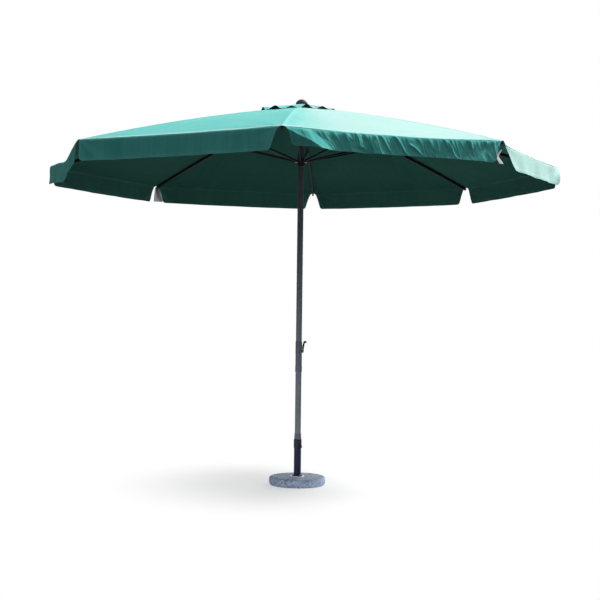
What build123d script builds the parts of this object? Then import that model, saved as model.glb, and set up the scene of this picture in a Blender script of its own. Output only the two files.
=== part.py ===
from build123d import *
from math import cos, radians, sin
import os

# A patio umbrella on a round stone base, open, with its crank, its folding frame of eight arms
# and its canopy of eight gores with a valance and a vent cap.
# Millimetres, Z up, origin under the middle of the stone. Arm 1 points to the front, along -Y,
# and the arms count anticlockwise seen from above.

# Stone base and its tube
stone_diameter = 450
stone_height = 65
stone_foot = 426
stone_rim = 16
recess_diameter = 54
recess_depth = 22
bolt_diameter = 16
bolt_head = 24
bolt_head_height = 10
washer_diameter = 48
washer_height = 4
plate_diameter = 108
plate_height = 4
tube_diameter = 57
tube_bore = 52.2
tube_top = 360
tube_floor = 20
skirt_diameter = 88
skirt_height = 13
collar_diameter = 63
collar_bottom = 290
bush_bottom = 200
bush_rim_bottom = 360.5
bush_top = 407
bush_rim_diameter = 56

# Clamp screw, square to the pole on the front right
clamp_azimuth = -60
clamp_height = 306
clamp_screw_diameter = 8
clamp_knob_diameter = 30
clamp_knob_start = 36.5
clamp_knob_end = 57
clamp_lobes = 6

# Pole, its joint and the crank
pole_diameter = 48
pole_wall = 1.5
pole_foot = 93
pole_split = 965
spigot_bottom = 890
spigot_top = 1030
sleeve_bottom = 897
sleeve_top = 1041
sleeve_diameter = 52
sleeve_ring_diameter = 54.5
sleeve_ring_top = 941
housing_bottom = 1043
housing_top = 1141
housing_diameter = 53.5
crank_height = 1063
crank_length = 72
axle_diameter = 10
axle_end = 37
boss_diameter = 26
boss_end = 31
drum_diameter = 36
drum_core = 28
drum_length = 24
arm_width = 15
arm_close = 27.6
arm_bend = 46
grip_diameter = 17
grip_start = 47.3
grip_end = 61

# Folding frame: each rib turns on a hub pin, and its strut runs from the rib's chord to the runner.
# The rib's arm and the strut are equally long, so the runner goes straight down the pole.
arms = 8
first_azimuth = -90
arm_step = 360 / arms
pin_radius = 45
pin_diameter = 6
hub_height = 2992
rib_slope = 13.47
rib_length = 2028
rib_bow = 28
rib_width = 14
rib_depth = 22
rib_wall = 1.2
strut_length = 885
strut_width = 10
strut_depth = 14
strut_wall = 1.2
rivet_diameter = 5
bracket_wall = 1.6
bracket_length = 26
tip_length = 8
runner_height = hub_height - 2 * strut_length * sin(radians(rib_slope))
hub_sleeve_diameter = 60
hub_ring_diameter = 116
hub_ring_height = 22
hub_cap_height = 8
runner_ring_diameter = 112
runner_ring_height = 18
side_play = 0.3
pivot_play = 0.05
pulley_diameter = 34
pulley_width = 8
pulley_radius = 27
pulley_drop = 6
pulley_pin_diameter = 5
finial_diameter = 96
finial_bottom = 3040
finial_top = 3077
finial_stem = 10
finial_shoulder = 8

# Canopy: half gores either side of each rib, from the vent opening to the rim
cloth_thickness = 1.5
cloth_lift = 15
cloth_overhang = 12
gore_half_angle = arm_step / 2
rib_gap = 3
crease_gap = 0.4
gore_sag = 6
panel_start = 165
panel_spans = 6
vent_inner_radius = 20
vent_rim_radius = 335
vent_inner_height = 3036
vent_rim_height = 2957
vent_lift = 14
vent_spans = 2
valance_height = 148
notch_half_width = 62
notch_start = 14
valance_fold = 14
valance_folds = 4

os.makedirs("parts", exist_ok=True)


def keep(block, name):
    """Label a finished piece and write its file."""
    block.part.label = name
    export_step(block.part, f"parts/{name}.step")


def outward(azimuth):
    """Unit vector away from the pole."""
    return Vector(cos(radians(azimuth)), sin(radians(azimuth)), 0)


def arm_plane(azimuth, radius, height, slope):
    """Upright plane of an arm: x runs outwards and down by slope, y is square to it and up."""
    out = outward(azimuth)
    along = out * cos(radians(slope)) - Vector(0, 0, sin(radians(slope)))
    return Plane(origin=out * radius + Vector(0, 0, height), x_dir=along, z_dir=(out.Y, -out.X, 0))


def cross_plane(azimuth, radius, height):
    """Upright plane square to the direction outwards: x runs sideways, y up."""
    out = outward(azimuth)
    return Plane(origin=out * radius + Vector(0, 0, height), x_dir=(-out.Y, out.X, 0), z_dir=out)


def ring(outer, inner, bottom, top):
    """Round tube about the pole's axis, added to the open part."""
    with BuildSketch(Plane.XY.offset(bottom)) as outline:
        Circle(outer / 2)
        Circle(inner / 2, mode=Mode.SUBTRACT)
    extrude(outline.sketch, amount=top - bottom)


def bow_at(x):
    """How far a rib's middle line stands above its chord."""
    return 4 * rib_bow * (x / rib_length) * (1 - x / rib_length)


def bowed_strip(start, end, half_depth):
    """Outline of a stretch of bowed rib, drawn in the open line block."""
    middle = (start + end) / 2
    low = [(x, bow_at(x) - half_depth) for x in (start, middle, end)]
    high = [(x, bow_at(x) + half_depth) for x in (end, middle, start)]
    ThreePointArc(*low)
    Line(low[-1], high[0])
    ThreePointArc(*high)


def gore_point(x, lift):
    """Radius and height of a point x along a rib's chord and lift above its middle line."""
    y = bow_at(x) + lift
    slope = radians(rib_slope)
    radius = pin_radius + x * cos(slope) + y * sin(slope)
    return radius, hub_height - x * sin(slope) + y * cos(slope)


# Stone: a cast disc with a worn rim, drawn in below, with a recess under it for the bolt
with BuildPart() as base_stone:
    with BuildSketch(Plane.XZ) as stone_profile:
        with BuildLine():
            Polyline(
                (0, 0), (stone_foot / 2, 0), (stone_diameter / 2, 0.35 * stone_height),
                (stone_diameter / 2, stone_height), (0, stone_height), close=True,
            )
        make_face()
        rim_corners = stone_profile.vertices().sort_by(Axis.X)[-3:]
        fillet(rim_corners, radius=stone_rim)
    revolve(axis=Axis.Z)
    with Locations((0, 0, 0)):
        Cylinder(recess_diameter / 2, 2 * recess_depth, mode=Mode.SUBTRACT)
        Cylinder(bolt_diameter / 2 + 1, 2 * stone_height + 1, mode=Mode.SUBTRACT)
keep(base_stone, "base_stone")

with BuildPart() as anchor_washer:
    ring(washer_diameter, bolt_diameter + 1, recess_depth - washer_height, recess_depth)
keep(anchor_washer, "anchor_washer")

plate_top = stone_height + plate_height
bolt_seat = recess_depth - washer_height
with BuildPart() as anchor_bolt:
    with BuildSketch(Plane.XY.offset(bolt_seat - bolt_head_height)):
        RegularPolygon(bolt_head / 2, 6, major_radius=False)
    extrude(amount=bolt_head_height)
    with BuildSketch(Plane.XY.offset(bolt_seat)):
        Circle(bolt_diameter / 2)
    extrude(amount=plate_top + tube_floor - 4 - bolt_seat)
keep(anchor_bolt, "anchor_bolt")

with BuildPart() as base_plate:
    ring(plate_diameter, bolt_diameter + 1, stone_height, plate_top)
    fillet(base_plate.edges().sort_by(Axis.Z)[-2:].sort_by(SortBy.RADIUS)[-1], radius=1.5)
keep(base_plate, "base_plate")

# Tube with its welded foot, which takes the bolt's thread from below
clamp_plane = cross_plane(clamp_azimuth, 0, clamp_height)
with BuildPart() as base_tube:
    with BuildSketch(Plane.XZ):
        with BuildLine():
            Polyline(
                (0, plate_top), (skirt_diameter / 2, plate_top), (skirt_diameter / 2, plate_top + 3),
                (tube_diameter / 2, plate_top + skirt_height), (tube_diameter / 2, tube_top),
                (tube_bore / 2, tube_top), (tube_bore / 2, plate_top + tube_floor),
                (0, plate_top + tube_floor), close=True,
            )
        make_face()
    revolve(axis=Axis.Z)
    with BuildSketch(Plane.XY.offset(plate_top)):
        Circle(bolt_diameter / 2)
    extrude(amount=tube_floor - 2, mode=Mode.SUBTRACT)
    with BuildSketch(clamp_plane):
        Circle(clamp_screw_diameter / 2 + 0.5)
    extrude(amount=tube_diameter, mode=Mode.SUBTRACT)
keep(base_tube, "base_tube")

# Clamp collar round the tube's top, with a boss for the screw
with BuildPart() as tube_collar:
    ring(collar_diameter, tube_diameter, collar_bottom, tube_top)
    with BuildSketch(clamp_plane.offset(tube_diameter / 2 + 1)):
        Circle(clamp_screw_diameter)
    extrude(amount=clamp_knob_start - 0.5 - tube_diameter / 2 - 1)
    with BuildSketch(clamp_plane):
        Circle(clamp_screw_diameter / 2 + pivot_play)
    extrude(amount=tube_diameter, mode=Mode.SUBTRACT)
    fillet(tube_collar.edges().filter_by(GeomType.CIRCLE).sort_by(Axis.Z)[-1], radius=1)
keep(tube_collar, "tube_collar")

# Plastic bush that fills the tube round the pole, with a rim standing above the tube
with BuildPart() as pole_bush:
    with BuildSketch(Plane.XZ):
        with BuildLine():
            Polyline(
                (pole_diameter / 2 + 0.1, bush_bottom), (tube_bore / 2 - 0.1, bush_bottom),
                (tube_bore / 2 - 0.1, bush_rim_bottom), (bush_rim_diameter / 2, bush_rim_bottom),
                (bush_rim_diameter / 2, bush_rim_bottom + 12), (pole_diameter / 2 + 2.2, bush_top),
                (pole_diameter / 2 + 0.1, bush_top), close=True,
            )
        make_face()
    revolve(axis=Axis.Z)
    with BuildSketch(clamp_plane):
        Circle(clamp_screw_diameter / 2 + 0.5)
    extrude(amount=tube_diameter, mode=Mode.SUBTRACT)
keep(pole_bush, "pole_bush")

clamp_tip = pole_diameter / 2 + 0.3
with BuildPart() as clamp_screw:
    with BuildSketch(clamp_plane.offset(clamp_tip)):
        Circle(clamp_screw_diameter / 2)
    extrude(amount=clamp_knob_end - 6 - clamp_tip)
keep(clamp_screw, "clamp_screw")

with BuildPart() as clamp_knob:
    with BuildSketch(clamp_plane.offset(clamp_knob_start)):
        Circle(clamp_knob_diameter / 2)
        with PolarLocations(clamp_knob_diameter / 2 + 2, clamp_lobes):
            Circle(clamp_knob_diameter / 6, mode=Mode.SUBTRACT)
        Circle(clamp_screw_diameter / 2, mode=Mode.SUBTRACT)
    extrude(amount=clamp_knob_end - 6 - clamp_knob_start)
    with BuildSketch(clamp_plane.offset(clamp_knob_end - 6)):
        Circle(clamp_knob_diameter / 2 - 4)
    extrude(amount=6, taper=20)
keep(clamp_knob, "clamp_knob")

# Pole in two lengths on a spigot, with a plug in its foot
pole_bore = pole_diameter - 2 * pole_wall
pole_top = hub_height + 12
with BuildPart() as pole_plug:
    ring(pole_diameter - 0.4, 12, pole_foot - 3, pole_foot)
    ring(pole_bore - 0.2, 12, pole_foot, pole_foot + 20)
keep(pole_plug, "pole_plug")

with BuildPart() as lower_pole:
    ring(pole_diameter, pole_bore, pole_foot, pole_split)
keep(lower_pole, "lower_pole")

with BuildPart() as joint_spigot:
    ring(pole_bore - 0.2, pole_bore - 5, spigot_bottom, spigot_top)
keep(joint_spigot, "joint_spigot")

with BuildPart() as joint_sleeve:
    ring(sleeve_diameter, pole_diameter + 0.2, sleeve_bottom, sleeve_top)
    ring(sleeve_ring_diameter, pole_diameter + 0.2, sleeve_bottom, sleeve_ring_top)
keep(joint_sleeve, "joint_sleeve")

pulley_azimuth = first_azimuth + gore_half_angle
pulley_height = hub_height - pulley_drop
pulley_slot = pulley_width + 2 * side_play + 0.4
slot_bottom = pulley_height - pulley_diameter / 2 - 3
crank_plane = Plane.YZ
with BuildPart() as upper_pole:
    ring(pole_diameter, pole_bore, pole_split + 1, pole_top)
    with BuildSketch(crank_plane):
        with Locations((0, crank_height)):
            Circle(axle_diameter / 2 + 0.3)
    extrude(amount=pole_diameter, both=True, mode=Mode.SUBTRACT)
    with BuildSketch(cross_plane(pulley_azimuth, 0, 0)):
        with Locations((0, (slot_bottom + pole_top) / 2)):
            Rectangle(pulley_slot, pole_top - slot_bottom)
    extrude(amount=pole_diameter, mode=Mode.SUBTRACT)
keep(upper_pole, "upper_pole")

# Crank housing: two moulded half shells clamped round the pole, with a boss for the axle
for name, side in (("housing_front", -1), ("housing_rear", 1)):
    with BuildPart() as housing:
        ring(housing_diameter, pole_diameter + 0.2, housing_bottom, housing_top)
        chamfer(housing.edges().filter_by(GeomType.CIRCLE).sort_by(SortBy.RADIUS)[-2:], length=2)
        with BuildSketch(crank_plane.offset(pole_diameter / 2 + 1)):
            with Locations((0, crank_height)):
                Circle(boss_diameter / 2)
        extrude(amount=boss_end - pole_diameter / 2 - 1)
        with BuildSketch(crank_plane):
            with Locations((0, crank_height)):
                Circle(axle_diameter / 2 + pivot_play)
        extrude(amount=housing_diameter, both=True, mode=Mode.SUBTRACT)
        split(bisect_by=Plane.XZ.offset(-0.1 * side), keep=Keep.BOTTOM if side > 0 else Keep.TOP)
    keep(housing, name)

# Axle with the drum that winds the lift cord inside the pole
with BuildPart() as crank_axle:
    with BuildSketch(crank_plane.offset(-housing_diameter / 2)):
        with Locations((0, crank_height)):
            Circle(axle_diameter / 2)
    extrude(amount=axle_end + housing_diameter / 2)
keep(crank_axle, "crank_axle")

with BuildPart() as winding_drum:
    for start, end, across in (
        (-drum_length / 2, -drum_length / 2 + 3, drum_diameter),
        (-drum_length / 2 + 3, drum_length / 2 - 3, drum_core),
        (drum_length / 2 - 3, drum_length / 2, drum_diameter),
    ):
        with BuildSketch(crank_plane.offset(start)):
            with Locations((0, crank_height)):
                Circle(across / 2)
                Circle(axle_diameter / 2, mode=Mode.SUBTRACT)
        extrude(amount=end - start)
keep(winding_drum, "winding_drum")

# Crank arm: a thick lever that lies along the pole and leans out as it rises, with a stub for the grip
arm_inner = boss_end + 0.6
arm_outer = axle_end + 2.5
boss_top = crank_height + boss_diameter / 2
bend_height = crank_height + arm_bend
grip_height = crank_height + crank_length
with BuildPart() as crank_arm:
    with BuildSketch(Plane.XZ):
        with BuildLine():
            Polyline(
                (arm_inner, crank_height - 12), (arm_inner + 3, crank_height - 16),
                (arm_outer, crank_height - 6), (arm_outer, crank_height + 12),
                (arm_outer + 5, bend_height), (grip_start - 0.3, grip_height - 11),
                (grip_start - 0.3, grip_height + 9), (grip_start - 9, grip_height + 9),
                (grip_start - 13, grip_height - 12), (arm_close + 1, bend_height),
                (arm_close, boss_top + 4), (arm_inner, boss_top + 2), close=True,
            )
        make_face()
    extrude(amount=arm_width / 2, both=True)
    side_faces = crank_arm.faces().sort_by(Axis.Y)
    fillet(side_faces[0].edges() + side_faces[-1].edges(), radius=1.5)
    with BuildSketch(crank_plane):
        with Locations((0, crank_height)):
            Circle(axle_diameter / 2)
    extrude(amount=axle_end, mode=Mode.SUBTRACT)
    with BuildSketch(crank_plane.offset(grip_start - 1)):
        with Locations((0, grip_height)):
            Circle(pin_diameter / 2)
    extrude(amount=grip_end - 4 - grip_start + 1)
keep(crank_arm, "crank_arm")

with BuildPart() as crank_grip:
    with BuildSketch(crank_plane.offset(grip_start)):
        with Locations((0, grip_height)):
            Circle(grip_diameter / 2)
    extrude(amount=grip_end - grip_start)
    fillet(crank_grip.edges().sort_by(Axis.X)[-1], radius=4)
    with BuildSketch(crank_plane.offset(grip_start)):
        with Locations((0, grip_height)):
            Circle(pin_diameter / 2 + pivot_play)
    extrude(amount=grip_end - 3.5 - grip_start, mode=Mode.SUBTRACT)
keep(crank_grip, "crank_grip")


def slotted_ring(radius, height, half_height, slot_width, slot_start):
    """Ring with a slot at each arm and holes for the arm pins, added to the open part."""
    with BuildSketch(Plane.XY.offset(height - half_height)) as outline:
        Circle(radius)
        with PolarLocations((radius + slot_start) / 2 + 5, arms, start_angle=first_azimuth):
            Rectangle(radius - slot_start + 10, slot_width, mode=Mode.SUBTRACT)
        Circle(pole_diameter / 2 + 2, mode=Mode.SUBTRACT)
    extrude(outline.sketch, amount=2 * half_height)
    for arm in range(arms):
        with BuildSketch(arm_plane(first_azimuth + arm * arm_step, pin_radius, height, 0)) as hole:
            Circle(pin_diameter / 2)
        extrude(hole.sketch, amount=slot_width / 2 + 5, both=True, mode=Mode.SUBTRACT)


# Top hub: a cap on the pole, slotted for the ribs, with the pulley's slot between two of them
hub_sleeve_bottom = hub_height - 45
with BuildPart() as top_hub:
    slotted_ring(
        hub_ring_diameter / 2, hub_height, hub_ring_height / 2, rib_width + 2 * side_play,
        pin_radius - rib_depth / 2 - 0.8,
    )
    ring(hub_sleeve_diameter, pole_diameter, hub_sleeve_bottom, pole_top)
    ring(hub_sleeve_diameter, finial_stem, pole_top, pole_top + hub_cap_height)
    with BuildSketch(cross_plane(pulley_azimuth, 0, 0)):
        with Locations((0, (slot_bottom + pole_top) / 2)):
            Rectangle(pulley_slot, pole_top - slot_bottom)
    extrude(amount=hub_ring_diameter, mode=Mode.SUBTRACT)
    with BuildSketch(arm_plane(pulley_azimuth, pulley_radius, pulley_height, 0)):
        Circle(pulley_pin_diameter / 2)
    extrude(amount=11, both=True, mode=Mode.SUBTRACT)
keep(top_hub, "top_hub")

with BuildPart() as pulley_pin:
    with BuildSketch(arm_plane(pulley_azimuth, pulley_radius, pulley_height, 0)):
        Circle(pulley_pin_diameter / 2)
    extrude(amount=11, both=True)
keep(pulley_pin, "pulley_pin")

with BuildPart() as pulley:
    with BuildSketch(Plane.XZ) as pulley_profile:
        with BuildLine():
            Polyline(
                (pulley_pin_diameter / 2 + pivot_play, -pulley_width / 2),
                (pulley_diameter / 2, -pulley_width / 2), (pulley_diameter / 2 - 4, -1),
                (pulley_diameter / 2 - 4, 1), (pulley_diameter / 2, pulley_width / 2),
                (pulley_pin_diameter / 2 + pivot_play, pulley_width / 2), close=True,
            )
        make_face()
    revolve(axis=Axis.Z)
pulley.part.locate(arm_plane(pulley_azimuth, pulley_radius, pulley_height, 0).location)
keep(pulley, "pulley")

with BuildPart() as finial:
    with BuildSketch(Plane.XZ):
        with BuildLine():
            Polyline(
                (finial_diameter / 2, finial_bottom + 5), (finial_diameter / 2, finial_bottom),
                (finial_stem / 2, finial_bottom), (finial_stem / 2, pole_top + 1), (0, pole_top + 1),
                (0, finial_top),
            )
            ThreePointArc(
                (0, finial_top), (0.29 * finial_diameter, finial_top - finial_shoulder),
                (finial_diameter / 2, finial_bottom + 5),
            )
        make_face()
    revolve(axis=Axis.Z)
keep(finial, "finial")

# Runner: the slotted ring that slides on the pole and carries the struts' feet
with BuildPart() as runner:
    slotted_ring(
        runner_ring_diameter / 2, runner_height, runner_ring_height / 2,
        strut_width + 2 * side_play, pin_radius - strut_depth / 2 - 1,
    )
    ring(hub_sleeve_diameter, pole_diameter + 0.8, runner_height - 40, runner_height + 14)
keep(runner, "runner")

# Pins: one group in the hub for the ribs, one in the runner for the struts
for name, height, slot_width in (
    ("hub_pins", hub_height, rib_width), ("runner_pins", runner_height, strut_width)
):
    with BuildPart() as pins:
        for arm in range(arms):
            with BuildSketch(arm_plane(first_azimuth + arm * arm_step, pin_radius, height, 0)):
                Circle(pin_diameter / 2)
            extrude(amount=slot_width / 2 + side_play + 5, both=True)
    keep(pins, name)


def rib_part(azimuth):
    """Bowed box-section rib, with its plug at the tip, and the bracket and rivet for its strut."""
    plane = arm_plane(azimuth, pin_radius, hub_height, rib_slope)
    half_depth = rib_depth / 2
    inner = half_depth - rib_wall
    under = bow_at(strut_length) - half_depth
    cheek = rib_width / 2 + 0.1
    with BuildPart() as rib:
        with BuildSketch(plane):
            with BuildLine():
                bowed_strip(0, rib_length, half_depth)
                ThreePointArc((0, half_depth), (-half_depth, 0), (0, -half_depth))
            make_face()
        extrude(amount=rib_width / 2, both=True)
        with BuildSketch(plane):
            with BuildLine():
                bowed_strip(rib_depth, rib_length, inner)
                Line((rib_depth, bow_at(rib_depth) + inner), (rib_depth, bow_at(rib_depth) - inner))
            make_face()
        extrude(amount=rib_width / 2 - rib_wall, both=True, mode=Mode.SUBTRACT)
        with BuildSketch(plane):
            Circle(pin_diameter / 2 + pivot_play)
        extrude(amount=rib_width, both=True, mode=Mode.SUBTRACT)
        # Plug in the rib's open end
        with BuildSketch(plane):
            with Locations((rib_length + 0.1 + tip_length / 2, 0)):
                RectangleRounded(tip_length, rib_depth, 3)
        extrude(amount=rib_width / 2, both=True)
        with BuildSketch(plane):
            with Locations((rib_length - 8, 0.5)):
                Rectangle(18, 2 * inner - 2)
        extrude(amount=rib_width / 2 - rib_wall - 0.2, both=True)
        # Bracket: two cheeks beside the rib, joined by a web under it
        for side in (-1, 1):
            with BuildSketch(plane.offset(side * cheek)):
                with Locations((strut_length, (under + 12 - rivet_diameter - 3) / 2)):
                    RectangleRounded(bracket_length, under + 12 + rivet_diameter + 3, 4)
                with Locations((strut_length, 0)):
                    Circle(rivet_diameter / 2 + 0.02, mode=Mode.SUBTRACT)
            extrude(amount=side * bracket_wall)
        with BuildSketch(plane):
            with Locations((strut_length, under - 0.2 - bracket_wall / 2)):
                Rectangle(bracket_length, bracket_wall)
        extrude(amount=cheek + bracket_wall, both=True)
        # Rivet through the cheeks
        with BuildSketch(plane):
            with Locations((strut_length, 0)):
                Circle(rivet_diameter / 2)
        extrude(amount=cheek + bracket_wall + 0.1, both=True)
        for side in (-1, 1):
            with BuildSketch(plane.offset(side * (cheek + bracket_wall + 0.1))):
                with Locations((strut_length, 0)):
                    Circle(rivet_diameter)
            extrude(amount=side * 1.5)
    return rib


def strut_part(azimuth):
    """Box-section strut with round ends, from the runner's pin up to the rib's rivet."""
    plane = arm_plane(azimuth, pin_radius, runner_height, -rib_slope)
    with BuildPart() as strut:
        with BuildSketch(plane):
            with Locations((strut_length / 2, 0)):
                SlotCenterToCenter(strut_length, strut_depth)
        extrude(amount=strut_width / 2, both=True)
        with BuildSketch(plane):
            with Locations((strut_length / 2, 0)):
                Rectangle(strut_length - 2 * strut_depth, strut_depth - 2 * strut_wall)
        extrude(amount=strut_width / 2 - strut_wall, both=True, mode=Mode.SUBTRACT)
        for place, diameter in ((0, pin_diameter), (strut_length, rivet_diameter)):
            with BuildSketch(plane):
                with Locations((place, 0)):
                    Circle(diameter / 2 + pivot_play)
            extrude(amount=strut_width, both=True, mode=Mode.SUBTRACT)
    return strut


def sheet_section(azimuth, radius, side, rib_height, crease_height, width):
    """Upright cut through half a gore: a thin strip from its crease out to its rib."""
    half = cloth_thickness / 2
    with BuildSketch(cross_plane(azimuth, radius, 0)) as strip:
        with BuildLine():
            Polyline(
                (side * crease_gap, crease_height - half), (side * width, rib_height - half),
                (side * width, rib_height + half), (side * crease_gap, crease_height + half), close=True,
            )
        make_face()
    return strip.sketch


def valance_section(plane, drop, side, length):
    """Cut along half a valance flap: a thin strip whose folds deepen towards the hem."""
    deep = valance_fold * drop / valance_height
    step = (length - crease_gap) / valance_folds
    xs = [side * (crease_gap + n * step / 2) for n in range(2 * valance_folds + 1)]
    with BuildSketch(plane.offset(drop)) as strip:
        with BuildLine():
            for y in (0, cloth_thickness):
                for n in range(valance_folds):
                    swing = (deep if n % 2 else -0.6 * deep) or 0.2
                    ThreePointArc((xs[2 * n], y), (xs[2 * n + 1], y + swing), (xs[2 * n + 2], y))
            Line((xs[-1], 0), (xs[-1], cloth_thickness))
            Line((xs[0], cloth_thickness), (xs[0], 0))
        make_face()
    return strip.sketch


def half_gore(azimuth, side):
    """Half a gore beside one rib: its panel, its half of the vent cap and its half of the valance."""
    half_angle = radians(gore_half_angle)
    panel_cuts = []
    for span in range(panel_spans + 1):
        x = panel_start + span / panel_spans * (rib_length + cloth_overhang - panel_start)
        radius, height = gore_point(x, cloth_lift)
        crease = height - gore_sag * (radius / rim_radius) ** 2
        width = radius * sin(half_angle) - rib_gap
        panel_cuts.append(sheet_section(azimuth, radius * cos(half_angle), side, height, crease, width))
    vent_cuts = []
    for span in range(vent_spans + 1):
        share = span / vent_spans
        radius = vent_inner_radius + share * (vent_rim_radius - vent_inner_radius)
        height = vent_inner_height + share * (vent_rim_height - vent_inner_height)
        crease = height + vent_lift * share**2
        width = radius * sin(half_angle) - rib_gap
        vent_cuts.append(sheet_section(azimuth, radius * cos(half_angle), side, height, crease, width))
    # The valance hangs from the rim, just outside the panel's edge
    out = outward(azimuth)
    edge = Vector(-out.Y, out.X, 0) * rim_half_width + Vector(0, 0, gore_sag * side)
    hang = Plane(
        origin=out * (rim_radius * cos(half_angle) + 0.6) + Vector(0, 0, rim_height - gore_sag),
        x_dir=edge, z_dir=edge.cross(out),
    )
    valance_cuts = []
    for share in (0, 0.5, 1):
        notch = notch_start + (notch_half_width - notch_start) * share**0.5
        valance_cuts.append(valance_section(hang, valance_height * share, side, rim_half_width - notch))
    with BuildPart() as gore:
        loft(panel_cuts, ruled=True)
        loft(vent_cuts, ruled=True)
        loft(valance_cuts, ruled=True)
    return gore


rim_radius, rim_height = gore_point(rib_length + cloth_overhang, cloth_lift)
rim_half_width = rim_radius * sin(radians(gore_half_angle))
for arm in range(arms):
    arm_azimuth = first_azimuth + arm * arm_step
    keep(rib_part(arm_azimuth), f"rib_{arm + 1}")
    keep(strut_part(arm_azimuth), f"strut_{arm + 1}")
    gore_azimuth = arm_azimuth + gore_half_angle
    keep(half_gore(gore_azimuth, -1), f"canopy_{arm + 1}_left")
    keep(half_gore(gore_azimuth, 1), f"canopy_{arm + 1}_right")
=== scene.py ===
import bpy
import math
from mathutils import Euler, Matrix, Vector, noise


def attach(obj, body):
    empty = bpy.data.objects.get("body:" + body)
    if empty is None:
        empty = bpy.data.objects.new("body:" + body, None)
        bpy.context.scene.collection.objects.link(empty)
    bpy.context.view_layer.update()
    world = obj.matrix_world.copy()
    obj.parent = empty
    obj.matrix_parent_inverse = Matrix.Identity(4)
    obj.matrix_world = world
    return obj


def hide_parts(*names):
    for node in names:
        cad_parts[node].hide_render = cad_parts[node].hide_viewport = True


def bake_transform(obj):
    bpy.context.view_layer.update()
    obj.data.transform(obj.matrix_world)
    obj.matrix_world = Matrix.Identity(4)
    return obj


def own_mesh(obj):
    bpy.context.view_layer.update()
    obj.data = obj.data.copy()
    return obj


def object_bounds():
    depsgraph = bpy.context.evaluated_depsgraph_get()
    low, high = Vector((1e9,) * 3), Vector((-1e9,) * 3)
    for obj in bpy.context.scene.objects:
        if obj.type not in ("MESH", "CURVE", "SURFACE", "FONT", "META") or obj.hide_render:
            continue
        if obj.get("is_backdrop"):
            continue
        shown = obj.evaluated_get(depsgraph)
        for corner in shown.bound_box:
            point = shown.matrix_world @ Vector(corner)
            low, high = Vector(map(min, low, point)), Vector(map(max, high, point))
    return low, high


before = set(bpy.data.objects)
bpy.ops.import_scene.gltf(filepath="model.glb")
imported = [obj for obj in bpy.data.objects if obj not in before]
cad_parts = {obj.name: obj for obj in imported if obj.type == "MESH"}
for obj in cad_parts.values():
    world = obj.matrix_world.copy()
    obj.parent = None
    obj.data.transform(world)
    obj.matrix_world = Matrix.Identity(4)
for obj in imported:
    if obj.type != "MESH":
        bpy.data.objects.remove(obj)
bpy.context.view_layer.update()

# Stone base: a disc of grey granite, sawn on top and bottom and dressed by hand round its side,
# so the rim is rounded and uneven. A recess under it takes the bolt that holds the tube.
stone_radius = 0.2285
stone_height = 0.065
recess_radius = 0.027
recess_depth = 0.022
ring_widths = (0.006, 0.009, 0.02, 0.04, 0.05)
dressed_from = 0.2
chip_depth = 0.0042
wave_depth = 0.003
dressed_off = 0.004
top_rounding = 0.007
foot_rounding = 0.009


def linear(hex_code):
    """Colour for a shader socket from an sRGB hex code."""
    parts = [int(hex_code[n:n + 2], 16) / 255 for n in (1, 3, 5)]
    return [c / 12.92 if c <= 0.04045 else ((c + 0.055) / 1.055) ** 2.4 for c in parts] + [1.0]


def add_node(tree, kind, sockets=(), **settings):
    """Adds a shader node with its settings; sockets holds input values, or outputs to link from."""
    made = tree.nodes.new(kind)
    for name, value in settings.items():
        setattr(made, name, value)
    for name, value in dict(sockets).items():
        if isinstance(value, bpy.types.NodeSocket):
            tree.links.new(value, made.inputs[name])
        else:
            made.inputs[name].default_value = value
    return made


def select_faces(piece, wanted):
    """Selects the faces of the piece in edit mode for which wanted(face) holds, and no others."""
    bpy.ops.mesh.select_mode(type="FACE")
    bpy.ops.mesh.select_all(action="DESELECT")
    bpy.ops.object.mode_set(mode="OBJECT")
    for face in piece.data.polygons:
        face.select = wanted(face)
    bpy.ops.object.mode_set(mode="EDIT")


bpy.ops.object.select_all(action="DESELECT")
bpy.ops.mesh.primitive_cylinder_add(
    vertices=192, radius=stone_radius, depth=stone_height, end_fill_type="NGON",
    location=(0, 0, stone_height / 2),
)
stone = bpy.context.object
stone.name = "granite_disc"
bpy.ops.object.transform_apply(location=True)
bpy.ops.object.mode_set(mode="EDIT")
select_faces(stone, lambda face: abs(face.normal.z) > 0.9)
for width in ring_widths:
    bpy.ops.mesh.inset(thickness=width, use_individual=True)
# The face left in the middle of the underside is the only large one there, and takes the recess.
select_faces(stone, lambda face: face.normal.z < -0.9 and face.area > 0.02)
bpy.ops.mesh.inset(thickness=stone_radius - sum(ring_widths) - recess_radius)
bpy.ops.mesh.extrude_region_move(TRANSFORM_OT_translate={"value": (0, 0, recess_depth)})
bpy.ops.mesh.select_mode(type="EDGE")
bpy.ops.mesh.select_all(action="DESELECT")
bpy.ops.object.mode_set(mode="OBJECT")
for edge in stone.data.edges:
    ends = [stone.data.vertices[v].co for v in edge.vertices]
    edge.select = abs(ends[0].z - ends[1].z) > 0.05
bpy.ops.object.mode_set(mode="EDIT")
bpy.ops.mesh.subdivide(number_cuts=7)
bpy.ops.object.mode_set(mode="OBJECT")
for vertex in stone.data.vertices:
    reach = math.hypot(vertex.co.x, vertex.co.y)
    outer = (reach - dressed_from) / (stone_radius - dressed_from)
    if outer <= 0:
        continue
    low = 1 - vertex.co.z / stone_height
    chips = noise.fractal(vertex.co * 22, 1.0, 2.0, 4) * chip_depth
    waves = noise.noise(vertex.co * 7) * wave_depth
    top_round = top_rounding * max(0, 1 - (stone_height - vertex.co.z) / 0.016) ** 2 * outer
    foot_round = foot_rounding * max(0, (low - 0.6) / 0.4) ** 2 * outer
    pull = (chips + waves - dressed_off) * outer - top_round - foot_round
    vertex.co.x *= 1 + pull / reach
    vertex.co.y *= 1 + pull / reach
    if low < 0.1:
        vertex.co.z += (noise.noise(vertex.co * 30) * 0.0012 - 0.0045 * outer**2) * outer
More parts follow.
